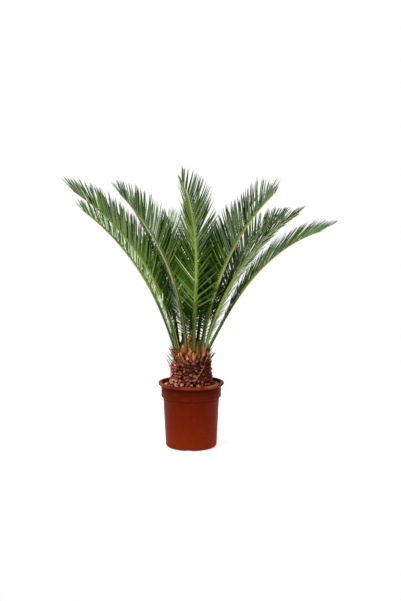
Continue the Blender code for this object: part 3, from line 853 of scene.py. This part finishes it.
def addBase(heap, heading, share, slot, rng):
    c = caudex
    radius, height = caudexProfile(share)
    high = share ** 1.3
    axis = aimed(heading, mix(c["tilt"], high) + rng.uniform(-9, 9))
    away = polar(1, heading, 0)
    side = polar(1, heading + 90 + rng.uniform(-12, 12), rng.uniform(-0.25, 0.25)).normalized()
    above = axis.cross(side).normalized()
    above = above if above.z > 0 else -above
    size = rng.uniform(0.74, 1.16)
    wide = mix(c["wide"], high) * size * rng.uniform(0.85, 1.1) / 2
    tall = mix(c["tall"], high) * size * rng.uniform(0.85, 1.15) / 2
    total = c["sunk"] + 0.004 + mix(c["reach"], high) * rng.uniform(0.55, 1.25)
    root = away * (radius - c["sunk"] - 0.004) + up * max(height, c["foot"] + 0.003)
    corner = rng.uniform(1, 1.3)
    shift = Vector((rng.uniform(0, 90), 0, 0))
    rings = []
    for (place, low), (place2, pointed) in zip(c["lowStages"], c["highStages"]):
        where, share2 = mix((place, place2), high), mix((low, pointed), high)
        ring = []
        for x, y in squarish(c["around"], corner):
            point = root + axis * total * where + side * wide * share2 * x + above * tall * share2 * y
            point = point + waver(point * 130 + shift) * c["rough"] * (0.4 + 1.1 * where)
            point.z = max(point.z, c["foot"] - 0.001)
            ring.append(point)
        rings.append(ring)
    tip = root + axis * total * mix((rng.uniform(0.93, 0.99), 1.01), high)
    tip.z = max(tip.z, c["foot"])
    heap.addTube(rings, lambda step, corner: slot if step >= 2 or (step == 1 and high > 0.5) else 0, tip)


def makeCaudex():
    c = caudex
    rng = random.Random(c["seed"])
    profile = []
    for step in range(13):
        radius, height = caudexProfile(step / 12)
        profile.append((radius - c["sunk"], height - (0.0015 if step == 12 else 0)))
    core = turnUp("caudex_core", [(0.02, c["foot"] - 0.001)] + profile + [(0.02, c["crown"] - 0.001)], 48)
    finishes = [barkFinish("bark" + name.capitalize(), colour, 0.55, 0.0045, 0.85)
                for name, colour in barkColours.items()]
    finishPiece(core, finishes[:1], "caudex", 60)

    heap = Heap()
    for heading, _, share in basePlaces(rng):
        addBase(heap, heading, share, baseSlot(heading, share, rng), rng)
    heap.makePiece("caudex_leaf_bases", finishes, "caudex", 55)


def addSpike(heap, root, axis, sag, length, width, slot, around=4):
    side = axis.cross(up)
    side = side.normalized() if side.length > 0.01 else Vector((1, 0, 0))
    above = side.cross(axis)
    rings = []
    point, before = root.copy(), 0
    for place, size in ((0, 1), (0.35, 0.85), (0.7, 0.5)):
        heading = (axis + up * sag * place).normalized()
        point = point + heading * length * (place - before)
        before = place
        rings.append(circle(point, side, above, width * size / 2, around))
    tip = point + (axis + up * sag).normalized() * length * (1 - before)
    heap.addTube(rings, lambda step, corner: slot, tip)


def bristle(share, heading, slopes, stray, depth, rng):     # where one starts, and its direction
    radius, height = caudexProfile(share)
    slope = rng.uniform(*slopes)
    axis = aimed(heading + rng.uniform(-stray, stray), slope)
    return polar(radius - depth, heading, max(height, caudex["foot"] + 0.006)), axis


def makeSpines():
    c = caudex
    rng = random.Random(c["seed"] + 1)
    heap = Heap()
    finishes = [barkFinish("drySpine", spineColours["spine"], 0.4, 0.004, 0.7),
                barkFinish("dryStraw", spineColours["straw"], 0.3, 0.004, 0.75)]
    for i in range(c["spines"]):
        share = mix((c["spineFrom"], 1), rng.random() ** 0.7)
        root, axis = bristle(share, goldenTurn * i + rng.uniform(-20, 20), c["spineSlope"], 14, 0.002, rng)
        reach = mix(c["spineReach"], rng.random())
        if all(hasRoom(root + axis * reach * s, c["stalkRoom"]) for s in (0.5, 0.75, 1)):
            addSpike(heap, root, axis, rng.uniform(-0.05, 0.35), reach, mix(c["spineWidth"], rng.random()),
                     0, 5)
    for i in range(c["fibres"]):
        root, axis = bristle(rng.random(), rng.uniform(0, 360), c["fibreSlope"], 70, 0.001, rng)
        reach = mix(c["fibreReach"], rng.random())
        if hasRoom(root + axis * reach, c["stalkRoom"]):
            addSpike(heap, root, axis, rng.uniform(-0.4, 0.4), reach, c["fibreWidth"],
                     1 if rng.random() < c["strawShare"] else 0, 3)
    foot, middle, head = (Vector(point) for point in c["rootlet"])
    rings = []
    for i in range(9):
        share = i / 8
        point = foot.lerp(middle, share).lerp(middle.lerp(head, share), share)
        along = (middle - foot).lerp(head - middle, share).normalized()
        side = along.cross(Vector((0, -1, 0))).normalized()
        above = side.cross(along)
        rings.append(circle(point, side, above, c["rootletWidth"] / 2, 6))
    heap.addTube(rings, lambda step, corner: 1)
    heap.makePiece("caudex_spines", finishes, "caudex")


# Woolly scales of the crown and the bud

wool = dict(
    crownHeight=0.345, seed=3, stalkRoom=0.0045,
    # tall scales between the stalks, round the crown's edge
    tall=84, tallRing=(0.047, 0.06), tallFoot=(0.339, 0.342),
    tallReach=(0.026, 0.046), tallWidth=(0.01, 0.015), tallSlope=(70, 84),
    # the inner ones round the bud
    inner=46, innerRing=(0.022, 0.046), innerFoot=(0.339, 0.342),
    innerReach=(0.036, 0.062), innerWidth=(0.01, 0.015), innerSlope=(78, 87),
    # the short ones of the shoulder, which the stalks stand behind
    shoulder=150, shoulderRing=(0.0585, 0.065), shoulderFoot=(0.318, 0.341),
    shoulderReach=(0.012, 0.024), shoulderWidth=(0.007, 0.012), shoulderSlope=(48, 78),
    # how often each of the colours below is dealt to a scale of each kind
    tallColours=(6, 4, 2, 2, 0, 1), innerColours=(4, 5, 2, 3, 0, 1), shoulderColours=(7, 5, 2, 6, 2, 0),
    budColours=(6, 3, 4, 1, 0, 0),
    budScales=80, budRadius=(0.019, 0.004), budHeight=0.056, budSlope=(72, 88),
    budReach=(0.024, 0.038), budWidth=(0.008, 0.012),
    hairsPerScale=5, hairReach=(0.004, 0.011), hairWidth=0.0004, darkFrom=5, shortest=0.014,
    outline=((0, 0.8), (0.15, 1), (0.35, 0.96), (0.55, 0.78), (0.72, 0.52), (0.86, 0.28), (0.95, 0.12)),
)
woolColours = dict(
    orange=paint(218, 136, 74), amber=paint(180, 92, 44), tan=paint(214, 160, 106),
    brown=paint(118, 60, 34), tip=paint(62, 34, 22), cream=paint(226, 188, 140),
)


def woolFinish(name, colour):
    felt = Finish(name, {"Roughness": 0.95, "Specular IOR Level": 0.05, "Sheen Weight": 0.2,
                         "Sheen Roughness": 0.5})
    streaks = felt.grain(0.0024, 6, felt.stretched(1, 1, 0.22))
    return felt.mottle(streaks, toned(colour, 0.5), colour, (0.34, 0.58), bump=(0.8, 0.0012))


def addScale(heap, root, axis, inward, length, width, slots):
    # slots are those of its foot, its middle and its tip
    right = axis.cross(inward).normalized()
    rings = []
    point, before = root, 0.0
    for place, size in wool["outline"]:
        heading = (axis + inward * 0.35 * place).normalized()
        point = point + heading * length * (place - before)
        before = place
        front = right.cross(heading)
        half = width * size / 2
        thick = half * 0.4
        rings.append([point + right * x * half + front * y * thick for x, y in (
            (1, 0.35), (0.5, -0.55), (-0.5, -0.55), (-1, 0.35), (-0.4, 0.3), (0.4, 0.3))])
    tip = point + (axis + inward * 0.4).normalized() * length * (1 - before)
    parts = [0] + [1] * (wool["darkFrom"] - 1) + [2] * len(rings)
    heap.addTube(rings, lambda step, corner: slots[parts[step]], tip)


def addHairs(heap, root, axis, length, count, slots, rng):
    for _ in range(count):
        start = root + axis * length * rng.uniform(0.1, 0.95)
        lean = Vector((rng.gauss(0, 0.5), rng.gauss(0, 0.5), rng.gauss(0, 0.3)))
        addSpike(heap, start, (axis + lean).normalized(), rng.uniform(-0.2, 0.5),
                 mix(wool["hairReach"], rng.random()), wool["hairWidth"], rng.choice(slots), 3)


def addScaleRing(heap, kind, rng):
    # one of the three kinds of crown scale, strewn round its ring and shortened beside a stalk
    w = wool
    for i in range(w[kind]):
        heading = goldenTurn * i + rng.uniform(-10, 10)
        away = polar(1, heading, 0)
        axis = aimed(heading, rng.uniform(*w[kind + "Slope"]))
        length, width = mix(w[kind + "Reach"], rng.random()), mix(w[kind + "Width"], rng.random())
        root = polar(mix(w[kind + "Ring"], rng.random()), heading, mix(w[kind + "Foot"], rng.random()))
        room = w["stalkRoom"] + 0.3 * width
        if kind != "shoulder":
            while length > w["shortest"] and not all(
                    hasRoom(root + axis * length * s, room) for s in (0.4, 0.7, 0.95)):
                length *= 0.82
        if length > 0.011:
            slot = rng.choices(range(6), w[kind + "Colours"])[0]
            foot = 3 if rng.random() < 0.5 else slot
            addScale(heap, root, axis, -away, length, width, (foot, slot, rng.choice((4, 4, 3, slot))))
            addHairs(heap, root, axis, length, w["hairsPerScale"], (0, 2, 3), rng)


def makeWool():
    w = wool
    rng = random.Random(w["seed"])
    finishes = [woolFinish("wool" + name.capitalize(), colour) for name, colour in woolColours.items()]
    crown = Heap()
    for kind in ("tall", "inner", "shoulder"):
        addScaleRing(crown, kind, rng)
    crown.makePiece("crown_scales", finishes, "caudex")

    bud = Heap()
    for i in range(w["budScales"]):
        share = i / w["budScales"]
        heading = goldenTurn * i
        away = polar(1, heading, 0)
        axis = aimed(heading, mix(w["budSlope"], share) + rng.uniform(-4, 4))
        length = mix(w["budReach"], rng.random()) * mix((1, 0.8), share)
        root = polar(mix(w["budRadius"], share), heading, w["crownHeight"] + w["budHeight"] * share)
        slot = rng.choices(range(6), w["budColours"])[0]
        width = mix(w["budWidth"], rng.random())
        addScale(bud, root, axis, -away, length, width, (slot, slot, rng.choice((slot, 3))))
        addHairs(bud, root, axis, length, w["hairsPerScale"], (0, 2, 3), rng)
    bud.makePiece("bud_scales", finishes, "bud")


# Studio

studio = dict(
    cameraPlace=(0, -3.6, 0.94), cameraPitch=6.45, cameraYaw=-0.54, focalPixels=1005, frameHeight=601,
    sensor=36, floorSize=2.4, floorColour=paint(240, 240, 240), floorGlow=((0.15, 0.35), (0.75, 1)),
    sky=((0.94, 0.97, 1), 0.42), backdrop=((1, 1, 1), 1),
)
lights = dict(      # place, aimed at, size, power, colour
    key=((-2.2, -2.3, 2.9), (0, 0, 0.55), 1.2, 130, (1, 0.98, 0.93)),
    fill=((2.8, -2, 1.6), (0, 0, 0.5), 1.8, 22, (0.93, 0.96, 1)),
    back=((0.9, 2.9, 2.8), (0, 0, 0.6), 1.6, 90, (0.97, 0.98, 1)),
)


def makeStudio():
    s = studio
    bpy.ops.mesh.primitive_plane_add(size=s["floorSize"], location=(0, 0, 0))
    floor = bpy.context.object
    floor.name = "floor"
    paper = Finish("paperFloor", {"Base Color": s["floorColour"], "Roughness": 0.9, "Specular IOR Level": 0.0,
                                  "Emission Strength": 1.0})
    reach = paper.add("VectorMath", {"operation": "LENGTH"}, {0: paper.place}, 1)
    paper.fill(paper.shader, {"Emission Color": paper.fade(reach, *s["floorGlow"])})
    floor.data.materials.append(paper.material)

    for name, (place, target, size, power, colour) in lights.items():
        lamp = bpy.data.lights.new(name, "AREA")
        lamp.shape, lamp.size, lamp.energy, lamp.color = "DISK", size, power, colour
        holder = addObject(name, lamp)
        holder.location = place
        holder.rotation_euler = (Vector(target) - Vector(place)).to_track_quat("-Z", "Y").to_euler()

    world = bpy.data.worlds.new("studio")
    bpy.context.scene.world = world
    world.use_nodes = True
    tree = world.node_tree
    sky = tree.nodes["Background"]
    kinds = ("Background", "LightPath", "MixShader")
    seen, rays, choice = (tree.nodes.new("ShaderNode" + kind) for kind in kinds)
    for node, (colour, strength) in ((sky, s["sky"]), (seen, s["backdrop"])):
        node.inputs["Color"].default_value = (*colour, 1)
        node.inputs["Strength"].default_value = strength
    for i, output in enumerate((rays.outputs["Is Camera Ray"], sky.outputs[0], seen.outputs[0])):
        tree.links.new(output, choice.inputs[i])
    tree.links.new(choice.outputs[0], tree.nodes["World Output"].inputs["Surface"])

    camera = bpy.data.cameras.new("camera")
    camera.sensor_width = s["sensor"]
    camera.lens = s["focalPixels"] / s["frameHeight"] * s["sensor"]
    holder = addObject("camera", camera)
    holder.location = s["cameraPlace"]
    holder.rotation_euler = (math.radians(90 - s["cameraPitch"]), 0, math.radians(s["cameraYaw"]))
    bpy.context.scene.camera = holder
    bpy.context.scene.view_settings.view_transform = "Standard"


makePot()
makeCompost()
makeStones()
makeCaudex()
makeSpines()
makeWool()
makeRibs()
makeLeaflets()
makeStudio()
